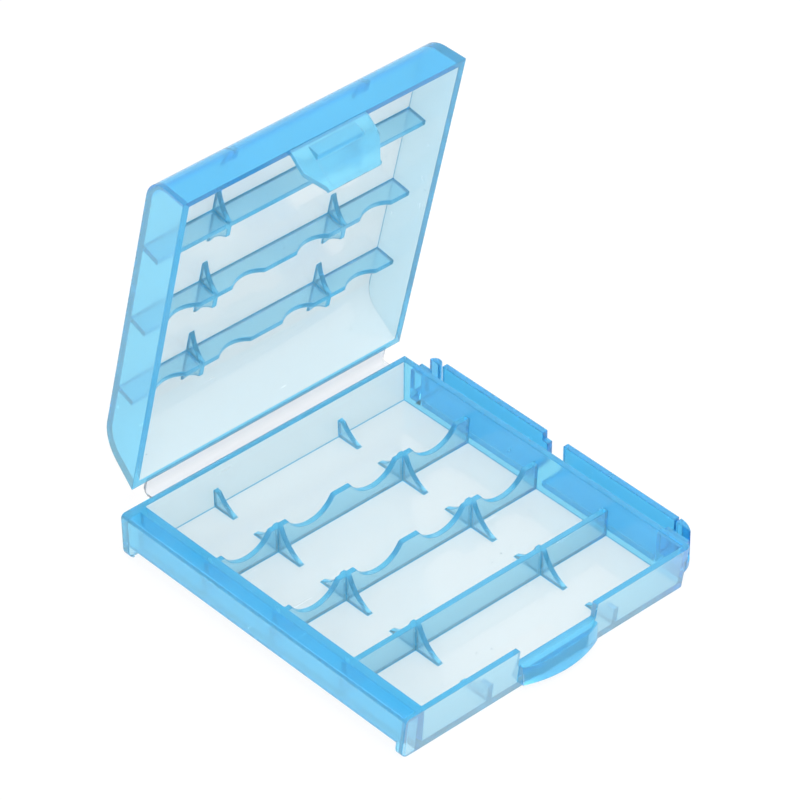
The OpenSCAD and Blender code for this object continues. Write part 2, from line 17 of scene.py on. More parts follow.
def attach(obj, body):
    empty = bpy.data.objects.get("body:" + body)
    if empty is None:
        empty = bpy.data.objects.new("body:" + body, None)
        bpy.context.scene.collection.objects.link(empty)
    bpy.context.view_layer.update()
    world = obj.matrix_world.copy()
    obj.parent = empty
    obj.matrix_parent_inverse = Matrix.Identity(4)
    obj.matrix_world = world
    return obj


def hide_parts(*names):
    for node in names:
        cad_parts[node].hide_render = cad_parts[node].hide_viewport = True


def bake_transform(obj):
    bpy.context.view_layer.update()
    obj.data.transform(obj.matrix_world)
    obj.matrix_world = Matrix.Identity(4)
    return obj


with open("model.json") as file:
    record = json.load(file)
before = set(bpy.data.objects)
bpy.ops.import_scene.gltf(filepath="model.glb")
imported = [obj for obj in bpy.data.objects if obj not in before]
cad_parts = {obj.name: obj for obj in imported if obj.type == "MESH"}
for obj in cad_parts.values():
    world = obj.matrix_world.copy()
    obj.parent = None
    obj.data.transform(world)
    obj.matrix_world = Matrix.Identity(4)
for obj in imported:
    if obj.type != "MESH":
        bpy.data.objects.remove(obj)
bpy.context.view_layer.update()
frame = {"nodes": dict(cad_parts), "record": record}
MM = 0.001

# %% [markdown]
# The camera comes early, because everything else is judged through it. It stands in front
# of the case, to its left and above, and looks from far away through a long lens, so that
# the sides hardly converge. A point to look at, two angles and a distance say all of that.

# %% Camera
LOOK_AT = Vector((9.8, 13.53, 20.0)) * MM
CAMERA_AZIMUTH = math.radians(-42.51)
CAMERA_ELEVATION = math.radians(38.01)
CAMERA_DISTANCE = 754.3 * MM
LENS_MM = 218.65

camera_data = bpy.data.cameras.new("studio_camera")
camera = bpy.data.objects.new("studio_camera", camera_data)
bpy.context.scene.collection.objects.link(camera)
towards = Vector((math.sin(CAMERA_AZIMUTH) * math.cos(CAMERA_ELEVATION),
                  -math.cos(CAMERA_AZIMUTH) * math.cos(CAMERA_ELEVATION),
                  math.sin(CAMERA_ELEVATION)))
camera.location = LOOK_AT + towards * CAMERA_DISTANCE
camera.rotation_euler = (-towards).to_track_quat("-Z", "Y").to_euler()
camera_data.sensor_width = 36.0
camera_data.lens = LENS_MM
camera_data.clip_start = 0.02
camera_data.clip_end = 10.0
bpy.context.scene.camera = camera
print("camera at", [round(v, 4) for v in camera.location])

# %% [markdown]
# The real case has no joins between its walls, ribs and floor. In a see-through material a
# join would show, because light bends at every face that it meets. So each body is modelled
# again as one closed skin. Every wall and rib is a primitive that is shaped in edit mode and
# sunk a little into what carries it, and a Boolean modifier then unites them. Parts that
# only touched would leave two hidden faces back to back.

# %% Helpers: select, extrude, cut
def clear_selection():
    """Leaves edit mode and deselects everything."""
    if bpy.context.object and bpy.context.object.mode != "OBJECT":
        bpy.ops.object.mode_set(mode="OBJECT")
    bpy.ops.object.select_all(action="DESELECT")


def only(piece):
    """Deselects everything, then selects this piece and makes it active."""
    clear_selection()
    piece.select_set(True)
    bpy.context.view_layer.objects.active = piece


def named(name):
    """The new primitive, under its name, with its place moved into its mesh."""
    piece = bpy.context.object
    piece.name = name
    piece.data.name = name
    bpy.ops.object.transform_apply(location=True, rotation=True, scale=True)
    return piece


def block(name, x0, x1, y0, y1, z0, z1):
    """A box from its lowest and highest corners, in millimetres."""
    clear_selection()
    centre = Vector((x0 + x1, y0 + y1, z0 + z1)) / 2 * MM
    bpy.ops.mesh.primitive_cube_add(size=1, location=centre,
                                    scale=((x1 - x0) * MM, (y1 - y0) * MM, (z1 - z0) * MM))
    return named(name)


def drafted(name, z0, low, z1, high):
    """A box whose sides lean: (x0, x1, y0, y1) at its bottom and at its top."""
    piece = block(name, *low, z0, z1)
    middle_low = Vector((low[0] + low[1], low[2] + low[3])) / 2 * MM
    middle_high = Vector((high[0] + high[1], high[2] + high[3])) / 2 * MM
    bpy.ops.object.mode_set(mode="EDIT")
    bpy.ops.mesh.select_mode(type="FACE")
    bpy.ops.mesh.select_all(action="DESELECT")
    bpy.ops.object.mode_set(mode="OBJECT")
    for face in piece.data.polygons:
        face.select = face.normal.z > 0.5
    bpy.ops.object.mode_set(mode="EDIT")
    bpy.ops.transform.resize(value=((high[1] - high[0]) / (low[1] - low[0]),
                                    (high[3] - high[2]) / (low[3] - low[2]), 1),
                             center_override=(*middle_low, z1 * MM))
    bpy.ops.transform.translate(value=(*(middle_high - middle_low), 0))
    bpy.ops.object.mode_set(mode="OBJECT")
    return piece


def prism(name, axis, outline, start, end):
    """An outline drawn in millimetres across one axis, and extruded along it."""
    clear_selection()
    bpy.ops.mesh.primitive_circle_add(vertices=len(outline), radius=1, fill_type="NGON")
    piece = bpy.context.object
    for vertex, (a, b) in zip(piece.data.vertices, outline):
        corner = {"X": (start, a, b), "Y": (a, start, b), "Z": (a, b, start)}[axis]
        vertex.co = Vector(corner) * MM
    along = Vector({"X": (1, 0, 0), "Y": (0, 1, 0), "Z": (0, 0, 1)}[axis]) * (end - start) * MM
    bpy.ops.object.mode_set(mode="EDIT")
    bpy.ops.mesh.select_all(action="SELECT")
    bpy.ops.mesh.extrude_region_move(TRANSFORM_OT_translate={"value": along})
    bpy.ops.mesh.select_all(action="SELECT")
    bpy.ops.mesh.normals_make_consistent(inside=False)
    bpy.ops.object.mode_set(mode="OBJECT")
    return named(name)


def rod(name, axis, centre, radius, length, sides=96):
    """A cylinder that lies along an axis."""
    clear_selection()
    turn = {"X": (0, math.pi / 2, 0), "Y": (math.pi / 2, 0, 0), "Z": (0, 0, 0)}[axis]
    bpy.ops.mesh.primitive_cylinder_add(vertices=sides, radius=radius * MM, depth=length * MM,
                                        location=Vector(centre) * MM, rotation=turn)
    return named(name)


def boolean(piece, other, operation):
    """Applies one Boolean modifier, and removes the other piece."""
    modifier = piece.modifiers.new("boolean", "BOOLEAN")
    modifier.operation = operation
    modifier.solver = "EXACT"
    modifier.object = other
    only(piece)
    bpy.ops.object.modifier_apply(modifier=modifier.name)
    bpy.data.objects.remove(other)
    return piece


def round_edges(piece, wanted, radius, segments):
    """Bevels the edges whose two ends the test accepts, in millimetres."""
    only(piece)
    bpy.ops.object.mode_set(mode="EDIT")
    bpy.ops.mesh.select_mode(type="EDGE")
    bpy.ops.mesh.select_all(action="DESELECT")
    bpy.ops.object.mode_set(mode="OBJECT")
    corners = piece.data.vertices
    for edge in piece.data.edges:
        edge.select = all(wanted(*(corners[i].co / MM)) for i in edge.vertices)
    bpy.ops.object.mode_set(mode="EDIT")
    bpy.ops.mesh.bevel(offset=radius * MM, segments=segments, affect="EDGES")
    bpy.ops.object.mode_set(mode="OBJECT")


def arc_points(centre, radius, start, sweep, steps):
    """Points along an arc, from one angle through a sweep, in millimetres."""
    angles = [start + sweep * k / steps for k in range(steps + 1)]
    return [(centre[0] + radius * math.cos(a), centre[1] + radius * math.sin(a))
            for a in angles]


def report(piece):
    """Prints the piece's size and whether its skin is closed."""
    shape = bmesh.new()
    shape.from_mesh(piece.data)
    open_edges = sum(1 for edge in shape.edges if len(edge.link_faces) != 2)
    print(f"{piece.name}: {len(shape.faces)} faces, {open_edges} open edges, "
          f"{shape.calc_volume() / MM**3:.1f} mm3")
    shape.free()


# %% [markdown]
# The tray starts as a solid block with leaning sides, which already takes in the coupling
# channel on the left. A smaller leaning block cut out of it leaves the floor and the walls,
# as the two halves of the mould do. Two more cuts leave the channel: a flange level with the
# rim, a skirt down from its edge, and an end tab at each end, which carries the end wall on.
# The front wall leans most, and the front right corner is relieved below. A shallow relief
# with sloping sides leaves room for the latch tab's tip.

# %% Tray shell
TRAY_H, FLOOR = 8.35, 0.95
IN_X, IN_Y = 27.2, 31.5
OUT_X, OUT_Y = 28.3, 32.6
OUT_LEAN, IN_LEAN, FRONT_LEAN = 0.25, 0.4, 1.1
SINK = 0.3          # how far each part reaches into what carries it
BEYOND = 1          # how far a cut reaches past what it cuts
CHANNEL_X, CHANNEL_T, SKIRT_Z = -31.3, 1.1, 2.8
SKIRT_FOOT = 0.4    # how far the skirt's ends stay full height beside the end tabs
UNDER_X = (-33, -29)
CORNER_R, SKIRT_R, FLANGE_R = 1.0, 1.6, 0.8
CORNER_X, CORNER_Y, CORNER_UP = (27.6, 30), (-33.6, -30.2), 5.4
RELIEF_LOW, RELIEF_HIGH = FLOOR - 0.2, FLOOR + 0.1
RELIEF_BOTTOM = (-5.45, 5.45, -29.85, -24.05)
RELIEF_TOP = (-5.98, 5.98, -30.38, -23.52)


def lean(amount, z):
    """How far a face that leans by amount over the tray's height is in at height z."""
    return amount * (TRAY_H - z) / TRAY_H


def outer_limits(z):
    """The tray's outside at height z, as (x0, x1, y0, y1), with the channel."""
    return (CHANNEL_X, OUT_X - lean(OUT_LEAN, z),
            -OUT_Y + lean(FRONT_LEAN, z), OUT_Y - lean(OUT_LEAN, z))


def inner_limits(z):
    """The tray's inside at height z."""
    side = IN_LEAN * (TRAY_H - z) / (TRAY_H - FLOOR)
    return (-IN_X + side, IN_X - side, -IN_Y + lean(FRONT_LEAN, z), IN_Y - side)


def between_tabs(x0, x1, z):
    """The room between the channel's end tabs at height z."""
    return (x0, x1, -IN_Y + lean(FRONT_LEAN, z), IN_Y - lean(OUT_LEAN, z))


tray = drafted("tray_moulding", 0, outer_limits(0), TRAY_H, outer_limits(TRAY_H))
round_edges(tray, lambda x, y, z: x > 27 and y < -30, CORNER_R, 5)
round_edges(tray, lambda x, y, z: x < -31 and z < 0.5, SKIRT_R, 6)
round_edges(tray, lambda x, y, z: x < -31 and z > 8, FLANGE_R, 4)
boolean(tray, drafted("cavity", FLOOR, inner_limits(FLOOR),
                      TRAY_H + BEYOND, inner_limits(TRAY_H + BEYOND)), "DIFFERENCE")
skirt_in = CHANNEL_X + CHANNEL_T
flange_low = TRAY_H - CHANNEL_T
wall_low, wall_high = [-OUT_X + lean(OUT_LEAN, z) for z in (-BEYOND, flange_low)]
boolean(tray, drafted("channel_space", -BEYOND, between_tabs(skirt_in, wall_low, -BEYOND),
                      flange_low, between_tabs(skirt_in, wall_high, flange_low)),
        "DIFFERENCE")
under_low, under_high = [(*UNDER_X, y0 + SKIRT_FOOT, y1 - SKIRT_FOOT)
                         for _, _, y0, y1 in (between_tabs(0, 0, -BEYOND),
                                              between_tabs(0, 0, SKIRT_Z))]
boolean(tray, drafted("under_skirt", -BEYOND, under_low, SKIRT_Z, under_high), "DIFFERENCE")
boolean(tray, block("corner_relief", *CORNER_X, *CORNER_Y, -BEYOND, CORNER_UP), "DIFFERENCE")
boolean(tray, drafted("tip_relief", RELIEF_LOW, RELIEF_BOTTOM, RELIEF_HIGH, RELIEF_TOP),
        "DIFFERENCE")
report(tray)

# %% [markdown]
# The catch is bowed forwards. Its section is drawn from the side and extruded, and an upright
# cylinder of the right radius then trims it to the bow. The cut-out in the front wall is cut
# last, because it also planes the top of the catch.

# %% Catch
SILL, NOTCH_HALF, NOTCH_Y = 5.2, 8.0, (-36, -30.2)
CATCH_HALF, CATCH_BOW = 7.8, 1.7
CATCH_OUT_LOW, CATCH_OUT_HIGH = 2.1, 1.42    # how far it stands out of the wall
CATCH_IN_LOW, CATCH_IN_HIGH = -31.2, -31.6   # its rear, inside the leaning wall
CATCH_LOW, CATCH_HIGH = 1.6, SILL + 0.5
BOW_SIDES = 192

bow_radius = (CATCH_HALF**2 + CATCH_BOW**2) / (2 * CATCH_BOW)
catch_section = [(CATCH_IN_LOW, CATCH_LOW), (-OUT_Y - CATCH_OUT_LOW, CATCH_LOW),
                 (-OUT_Y - CATCH_OUT_HIGH, CATCH_HIGH), (CATCH_IN_HIGH, CATCH_HIGH)]
catch = prism("catch", "X", catch_section, -CATCH_HALF, CATCH_HALF)
boolean(catch, rod("bow", "Z", (0, -OUT_Y - CATCH_OUT_LOW + bow_radius, 3), bow_radius, 20,
                   BOW_SIDES), "INTERSECT")
boolean(tray, catch, "UNION")
boolean(tray, block("notch", -NOTCH_HALF, NOTCH_HALF, *NOTCH_Y, SILL, TRAY_H + BEYOND),
        "DIFFERENCE")
report(tray)

# %% [markdown]
# Three ribs part the bays. Two of them have four scallops, in which the slim cells lie
# across. The small fins stand at right angles to the ribs, and their tops follow the round
# side of a large cell, so their outline is an arc.

# %% Ribs and fins of the tray
RIB_FRONTS = [16.0, 0.25, -15.5]
RIB_T, RIB_TOP = 1.0, 5.8
SLIM_R, SLIM_Z, SLIM_CUT = 5.4, 8.4, 8
SCALLOP_X = [-19.65, -6.55, 6.55, 19.65]
SCALLOPED = 2       # how many of the ribs have scallops, from the rear
CELL_R, CELL_Z = 7.4, 8.18
CELL_Y = [24.25, 8.625, -7.125, -22.9]
BAY_REAR = [IN_Y, *RIB_FRONTS]
BAY_FRONT = [*(front + RIB_T for front in RIB_FRONTS), -IN_Y]
FIN_X, FIN_T, FIN_STEPS = 13.1, 0.9, 10
WALL_FIN_TOP = 4.1
TOE = 0.25          # the height at which a fin starts

for number, front in enumerate(RIB_FRONTS):
    rib = block("rib", -IN_X - SINK, IN_X + SINK, front, front + RIB_T, FLOOR - SINK, RIB_TOP)
    if number < SCALLOPED:
        for x in SCALLOP_X:
            boolean(rib, rod("slim_cell", "Y", (x, front, SLIM_Z), SLIM_R, SLIM_CUT),
                    "DIFFERENCE")
    boolean(tray, rib, "UNION")


def fin_outline(centre, wall, top, radius, axis_height, foot, wall_lean=0):
    """What a round cell leaves free beside its lowest line, out to a wall and up to a top."""
    side = 1 if wall > centre else -1
    near = math.sqrt(radius**2 - (axis_height - foot - TOE)**2)
    far = min(math.sqrt(radius**2 - (axis_height - top)**2), abs(wall - centre))
    arc = []
    for k in range(FIN_STEPS + 1):
        across = near + (far - near) * k / FIN_STEPS
        arc.append((centre + side * across, axis_height - math.sqrt(radius**2 - across**2)))
    if top - arc[-1][1] < TOE:
        arc[-1] = (arc[-1][0], top)
    low = foot - SINK
    end_top, end_low = [wall + lean(wall_lean, z) + side * SINK for z in (arc[-1][1], low)]
    return [(arc[0][0], low), *arc, (end_top, arc[-1][1]), (end_low, low)]


for x in (-FIN_X, FIN_X):
    for bay in range(4):
        for wall in (BAY_REAR[bay], BAY_FRONT[bay]):
            outline = fin_outline(CELL_Y[bay], wall,
                                  WALL_FIN_TOP if abs(wall) == IN_Y else RIB_TOP,
                                  CELL_R, CELL_Z, FLOOR, FRONT_LEAN if wall == -IN_Y else 0)
            boolean(tray, prism("fin", "X", outline, x - FIN_T / 2, x + FIN_T / 2), "UNION")
report(tray)

# %% [markdown]
# On the right there are two upright rails, each with a shelf for a foot, and a slotted stop
# beyond each of them. A rail is one L-shaped outline extruded along Y. The stops are drawn
# from above, because their noses are round.

# %% Coupling rails and stops
RAIL_X, RAIL_T, RAIL_Z, RAIL_TOP = 33.0, 1.1, 1.4, 7.1
RAIL_ROOT = OUT_X - 0.6
SHELF_TOP = RAIL_Z + RAIL_T
REAR_RAIL_Y, FRONT_RAIL_Y = (3.1, 27.6), (-25.2, -0.4)
STEP_X, STEP_Y, STEP_Z = (31, 34), (2, 4.2), (5.57, 8)   # a low front end on the rear rail
rail_section = [(RAIL_ROOT, RAIL_Z), (RAIL_X, RAIL_Z), (RAIL_X, RAIL_TOP),
                (RAIL_X - RAIL_T, RAIL_TOP), (RAIL_X - RAIL_T, SHELF_TOP),
                (RAIL_ROOT, SHELF_TOP)]
rear_rail = prism("rail", "Y", rail_section, *REAR_RAIL_Y)
boolean(rear_rail, block("rail_step", *STEP_X, *STEP_Y, *STEP_Z), "DIFFERENCE")
boolean(tray, rear_rail, "UNION")
boolean(tray, prism("rail", "Y", rail_section, *FRONT_RAIL_Y), "UNION")

STOP_FOOT = 27.4    # inside the wall, and further in than the corner relief
REAR_STOP_Y, FRONT_STOP_Y = (28.0, 30.4), (-30.6, -25.6)
SLOT_X, SLOT_Y, SLOT_TOP = (30.1, 31.8), (-40, 40), 9
NOSE_R, STOP_L = 1.2, 5.0
quarter = [k * math.pi / 2 / 12 for k in range(13)]
half = quarter + [a + math.pi / 2 for a in quarter[1:]]
rear_nose = [(RAIL_X - NOSE_R + NOSE_R * math.sin(a),
              REAR_STOP_Y[0] + NOSE_R - NOSE_R * math.cos(a)) for a in half]
front_nose = [(RAIL_X - STOP_L + STOP_L * math.sin(a),
               FRONT_STOP_Y[1] - STOP_L * math.cos(a)) for a in quarter]
for nose, (y0, y1) in ((rear_nose, REAR_STOP_Y), (front_nose, FRONT_STOP_Y)):
    stop = prism("stop", "Z", [(STOP_FOOT, y0), *nose, (STOP_FOOT, y1)], RAIL_Z, RAIL_TOP)
    boolean(stop, block("stop_slot", *SLOT_X, *SLOT_Y, SHELF_TOP, SLOT_TOP), "DIFFERENCE")
    boolean(tray, stop, "UNION")
report(tray)

# %% [markdown]
# The lid is drawn closed, in its own coordinates: y is minus the distance from the fold
# line, and z is the height above it. Its outline from the side has a leaning front and rear,
# each rounded into the flat panel by an arc. Two such outlines, one a wall's thickness
# inside the other, are extruded, and their ends lean in as well.

# %% Lid shell
LID_H, LID_WALL, LID_PANEL, RIM = 8.4, 1.2, 0.9, 0.1
LID_HALF, LID_DRAFT = 28.1, 0.6
LID_FRONT, LID_REAR = 66.3, 2.3         # where the rim starts and ends
FRONT_SLOPE, REAR_SLOPE = 0.16, 0.49
FRONT_ROUND, REAR_ROUND = 4.8, 6.4
ROUND_STEPS = 14


def lid_outline(inset, top, low):
    """The lid from the side, as (y, z) points: up the front, along the top, down the rear."""
    front_a, rear_a = math.atan(FRONT_SLOPE), math.atan(REAR_SLOPE)
    front = LID_FRONT - inset / math.cos(front_a)
    rear = LID_REAR + inset / math.cos(rear_a)
    front_r, rear_r = FRONT_ROUND - inset, REAR_ROUND - inset
    front_c = (front - FRONT_SLOPE * (top - RIM)
               - front_r * math.tan((math.pi / 2 - front_a) / 2), top - front_r)
    rear_c = (rear + REAR_SLOPE * (top - RIM)
              + rear_r * math.tan((math.pi / 2 - rear_a) / 2), top - rear_r)
    points = [(front - FRONT_SLOPE * (low - RIM), low),
              *arc_points(front_c, front_r, front_a, math.pi / 2 - front_a, ROUND_STEPS),
              *arc_points(rear_c, rear_r, math.pi / 2, math.pi / 2 - rear_a, ROUND_STEPS),
              (rear + REAR_SLOPE * (low - RIM), low)]
    return [(-u, w) for u, w in points]


def lid_solid(name, inset, top, low):
    """The outline extruded along X, with both ends leaning in towards the panel."""
    half = LID_HALF - inset
    piece = prism(name, "X", lid_outline(inset, top, low), -half, half)
    for vertex in piece.data.vertices:
        inward = LID_DRAFT * (vertex.co.z / MM - RIM) / (LID_H - RIM) * MM
        vertex.co.x -= math.copysign(inward, vertex.co.x)
    return piece


lid = lid_solid("lid_moulding", 0, LID_H, RIM)
boolean(lid, lid_solid("lid_cavity", LID_WALL, LID_H - LID_PANEL, RIM - BEYOND), "DIFFERENCE")
report(lid)

# %% [markdown]
# The lid's ribs and fins hang from its panel. They meet the cells from above, so the same
# outline is used, turned upside down. Beside the front wall the fins are cut shorter.

# %% Ribs and fins of the lid
LID_IN = LID_H - LID_PANEL
RIB_END = LID_HALF - 0.9      # where the ribs end, inside the side walls
LID_RIB_U = [19.0, 34.75, 50.5]
LID_RIB_LOW = LID_IN - 3.6
FRONT_FIN_LOW = LID_IN - 2.2
LID_SLIM_Z = -0.4
LID_CELL_U = [9.75, 25.375, 41.125, 56.9]
LID_AXIS = LID_IN - 0.27      # how far the cells' middle lies below the panel
FRONT_WALL_U = 65.0
LID_BAY = [(18.0,), (19.0, 33.75), (34.75, 49.5), (50.5, FRONT_WALL_U)]
for number, front in enumerate(LID_RIB_U):
    rib = block("rib", -RIB_END, RIB_END, -front, -front + RIB_T, LID_RIB_LOW, LID_IN + SINK)
    if number < SCALLOPED:
        for x in SCALLOP_X:
            boolean(rib, rod("slim_cell", "Y", (x, -front, LID_SLIM_Z), SLIM_R, SLIM_CUT),
                    "DIFFERENCE")
    boolean(lid, rib, "UNION")

for x in (-FIN_X, FIN_X):
    for centre, walls in zip(LID_CELL_U, LID_BAY):
        for wall in walls:
            low = FRONT_FIN_LOW if wall == FRONT_WALL_U else LID_RIB_LOW
            outline = fin_outline(centre, wall, LID_IN - low, CELL_R, LID_AXIS, 0)
            fin = prism("fin", "X", [(-u, LID_IN - h) for u, h in outline],
                        x - FIN_T / 2, x + FIN_T / 2)
            if wall == FRONT_WALL_U:
                boolean(fin, lid_solid("mid_wall", LID_WALL / 2, LID_H - LID_PANEL / 2, RIM),
                        "INTERSECT")
            boolean(lid, fin, "UNION")
report(lid)

# %% [markdown]
# The finished lid is turned about the fold line, to where it stands open in the photograph.

# %% Open the lid
FOLD = Vector((0, 34.0, 8.45)) * MM
OPEN_ANGLE = math.radians(76.5)
TO_OPEN = Matrix.Translation(FOLD) @ Matrix.Rotation(-OPEN_ANGLE, 4, "X")


def opened(piece):
    """Turns a piece that was drawn closed, and keeps its object at the origin."""
    piece.data.transform(TO_OPEN)
    return piece


opened(lid)
print("lid spans", [round(v / MM, 1) for v in lid.bound_box[0]],
      [round(v / MM, 1) for v in lid.bound_box[6]])

# %% [markdown]
# The latch tab hangs from the lid's front rim and leans in over the cells. Its section is an
# outline extruded across, and a second outline, seen from the front, trims it to its full
# width above and a narrow, wavy grip edge below. A raised band runs down its outer face.

# %% Latch tab
TAB_Y, TAB_Z, TAB_HALF_T = -65.7, -0.5, 0.45
UPPER_A, LOWER_A, LEG = math.radians(28), math.radians(27), 3.7
TAB_HALF, TIP_HALF, BAND_HALF = 7.6, 5.3, 4.6
BAND_OUT, BAND_IN, BAND_SHORT = 0.62, 0.1, 0.55   # its two faces, and its end above the tip
PAD_HALF_T, PAD_TOP, PAD_LOW = 0.6, -0.8, TAB_Z - 2.45
SHOULDER_Z, TIP_SIDE_Z, TIP_Z = TAB_Z - 2.94, TAB_Z - 6.1, TAB_Z - 7.01
WAVE = 0.225


def tab_outline(out, inward, top, length):
    """The tab from the side: its leaning legs with a face on either side of their middle."""
    down_1 = Vector((math.sin(UPPER_A), -math.cos(UPPER_A)))
    down_2 = Vector((math.sin(LOWER_A), -math.cos(LOWER_A)))
    across_1 = Vector((math.cos(UPPER_A), math.sin(UPPER_A)))
    across_2 = Vector((math.cos(LOWER_A), math.sin(LOWER_A)))
    root = Vector((TAB_Y, TAB_Z))
    knee = root + down_1 * LEG
    tip = knee + down_2 * length
    return [(TAB_Y - out, top), tuple(root - across_1 * out), tuple(knee - across_2 * out),
            tuple(tip - across_2 * out), tuple(tip + across_2 * inward),
            tuple(knee + across_2 * inward), tuple(root + across_1 * inward),
            (TAB_Y + inward, top)]


tab = prism("latch_tab_moulding", "X", tab_outline(TAB_HALF_T, TAB_HALF_T, RIM + 0.03, LEG),
            -TAB_HALF, TAB_HALF)
face = tab_outline(BAND_OUT, BAND_IN, PAD_TOP, LEG - BAND_SHORT)
pad_and_band = [(TAB_Y - PAD_HALF_T, PAD_TOP), (TAB_Y - PAD_HALF_T, PAD_LOW),
                (TAB_Y + PAD_HALF_T, PAD_LOW), *face[2:6], (TAB_Y + BAND_IN, PAD_TOP)]
boolean(tab, prism("band", "X", pad_and_band, -BAND_HALF, BAND_HALF), "UNION")
waves = [(-TIP_HALF + k * TIP_HALF / 18, TIP_Z + WAVE * (1 + math.cos(k * math.pi / 6)))
         for k in range(37)]
front_outline = [(TAB_HALF, 1.0), (-TAB_HALF, 1.0), (-TAB_HALF, SHOULDER_Z),
                 (-TIP_HALF, TIP_SIDE_Z), *waves, (TIP_HALF, TIP_SIDE_Z),
                 (TAB_HALF, SHOULDER_Z)]
boolean(tab, prism("front_outline", "Y", front_outline, -70, -55), "INTERSECT")
opened(tab)
report(tab)

# %% [markdown]
# The living hinge is a thin strap that is thinnest where it folds. Its section is drawn as
# it stands open: a flange from the tray, an arc round the fold line, and a flange up to the
# lid. It is one piece.

# %% Hinge strap
STRAP_HALF, FILM = 25.0, 0.3
STRAP_END = math.radians(13.5)    # where the arc round the fold line meets the lid's flange


def lid_point(u, w):
    """A point of the closed lid, as (y, z) where the lid stands open."""
    point = TO_OPEN @ (Vector((0, -u, w)) * MM) / MM
    return (point.y, point.z)


fold_y, fold_z = FOLD.y / MM, FOLD.z / MM
strap_outline = [(32.35, 7.85), (33.55, 7.85),
                 *arc_points((fold_y, fold_z), FILM, -math.pi / 2, STRAP_END + math.pi / 2, 8),
                 lid_point(0.45, 0.6), lid_point(2.85, 0.6), lid_point(2.6, 0.12),
                 lid_point(0.25, 0.12), (33.96, 8.43), (33.75, 8.33), (32.35, 8.33)]
strap = prism("hinge_strap", "X", strap_outline, -STRAP_HALF, STRAP_HALF)
report(strap)

# %% [markdown]
# No edge of a moulding is sharp. A small bevel on every edge gives the fine bright and dark
# lines that edges have in clear plastic. Leftover corners on flat faces are dissolved first,
# because a bevel stops at each of them. The tray is also cut once across, level with the
# middle of its rear stop, so that no face there has so many corners that it folds over
# itself. Weighted normals then keep the flat faces flat, so that only the narrow bevels
# carry the turn of the light.

# %% Edges
BEVEL, TAB_BEVEL = 0.12, 0.08
STOP_MIDDLE = 29.2
SMOOTH_ANGLE, BEVEL_ANGLE, FLAT_ANGLE = [math.radians(angle) for angle in (50, 38, 0.5)]
SAME_POINT = 0.004


def shade_evenly():
    """Smooths the active piece where it turns little, and keeps its flat faces flat."""
    piece = bpy.context.object
    bpy.ops.object.shade_smooth_by_angle(angle=SMOOTH_ANGLE)
    even = piece.modifiers.new("even_shading", "WEIGHTED_NORMAL")
    even.weight = 100
    even.keep_sharp = True
    bpy.ops.object.modifier_apply(modifier=even.name)


def finish_edges(piece, width, cut_y=None):
    """Dissolves leftover corners, bevels every edge and shades the piece."""
    only(piece)
    bpy.ops.object.mode_set(mode="EDIT")
    bpy.ops.mesh.select_all(action="SELECT")
    bpy.ops.mesh.remove_doubles(threshold=SAME_POINT * MM)
    bpy.ops.mesh.dissolve_limited(angle_limit=FLAT_ANGLE)
    if cut_y is not None:
        bpy.ops.mesh.select_all(action="SELECT")
        bpy.ops.mesh.bisect(plane_co=(0, cut_y * MM, 0), plane_no=(0, 1, 0))
    bpy.ops.object.mode_set(mode="OBJECT")
    bevel = piece.modifiers.new("bevel", "BEVEL")
    bevel.width = width * MM
    bevel.segments = 2
    bevel.limit_method = "ANGLE"
    bevel.angle_limit = BEVEL_ANGLE
    bevel.use_clamp_overlap = False
    bpy.ops.object.modifier_apply(modifier=bevel.name)
    shade_evenly()
    report(piece)


finish_edges(tray, BEVEL, cut_y=STOP_MIDDLE)
finish_edges(lid, BEVEL)
finish_edges(tab, TAB_BEVEL)
only(strap)
shade_evenly()

# %% [markdown]
# The floor and the lid's panel are polished and clear, while the side walls, ribs and rails
# have a fine matt skin and are painted a deeper blue, as painted shade where light runs a
# longer way through the plastic. The front and rear walls lie between the two. Each face gets
# a number, from 0 for matt and shaded to 1 for polished, and the material reads it as a
# roughness and a colour. Below 0 are the faces painted with the deepest shade: the edges, the
# lid's front wall, the catch and the rails.

# %% Polished faces and painted shade
PANEL_UP = TO_OPEN.to_3x3() @ Vector((0, 0, 1))
LID_FORWARD = TO_OPEN.to_3x3() @ Vector((0, -1, 0))
# Each number sets a roughness and a painted shade: 1 is polished and pale, 0 is matt and
# painted blue.
POLISHED, MATT_SHADED = 1.0, 0.0
REAR_TONE, SIDE_TONE, FRONT_TONE, RIB_TONE = 0.9, 0.75, 0.5, 0.4
# Painted shade: the edges and rails are painted the deepest blue.
EDGE_SHADE, RAIL_SHADE = -0.7, -0.7
SQUARELY, MOSTLY = 0.95, 0.9        # how far a face's normal points along an axis
TIP_HALF_X, TIP_Y0, TIP_Y1, TIP_UP = 7, -30.5, -23, 0.5    # round the tip's relief
END_WALLS_Y, FINS_X = 30, 20        # outside the first and inside the second
LID_SIDE_X, LID_REAR_U, LID_FRONT_U, LID_RIM_UP = 26, 11, 59.5, 0.5


def on_edge(across, along, up):
    """Whether a face belongs to a bevel, because it faces none of the three ways squarely."""
    return max(abs(across), abs(along), abs(up)) < SQUARELY


def tray_finish_and_shade(normal, at):
    """The finish and painted shade of a face of the tray, from its normal and its middle in
    millimetres.
    """
    on_relief = abs(at.x) < TIP_HALF_X and TIP_Y0 < at.y < TIP_Y1 and at.z > TIP_UP
    if at.z < FLOOR + 0.1 and (abs(normal.z) > SQUARELY or on_relief):
        return POLISHED
    # Painted shade: the rails, stops and catch are painted the deepest blue.
    if at.x > OUT_X + 0.3 or at.y < -OUT_Y - 0.1:
        return RAIL_SHADE
    # Painted shade: bevels and the tops of walls and ribs are painted the deepest blue.
    if on_edge(*normal) or (normal.z > MOSTLY and at.z > 2):
        return EDGE_SHADE
    # Painted shade and finish: end walls and ribs lie between the pale panel and the painted
    # wall blue.
    if abs(normal.y) > MOSTLY and abs(at.y) > END_WALLS_Y and abs(at.x) < OUT_X:
        return REAR_TONE if at.y > 0 else FRONT_TONE
    return RIB_TONE if abs(normal.y) > MOSTLY or abs(at.x) < FINS_X else MATT_SHADED


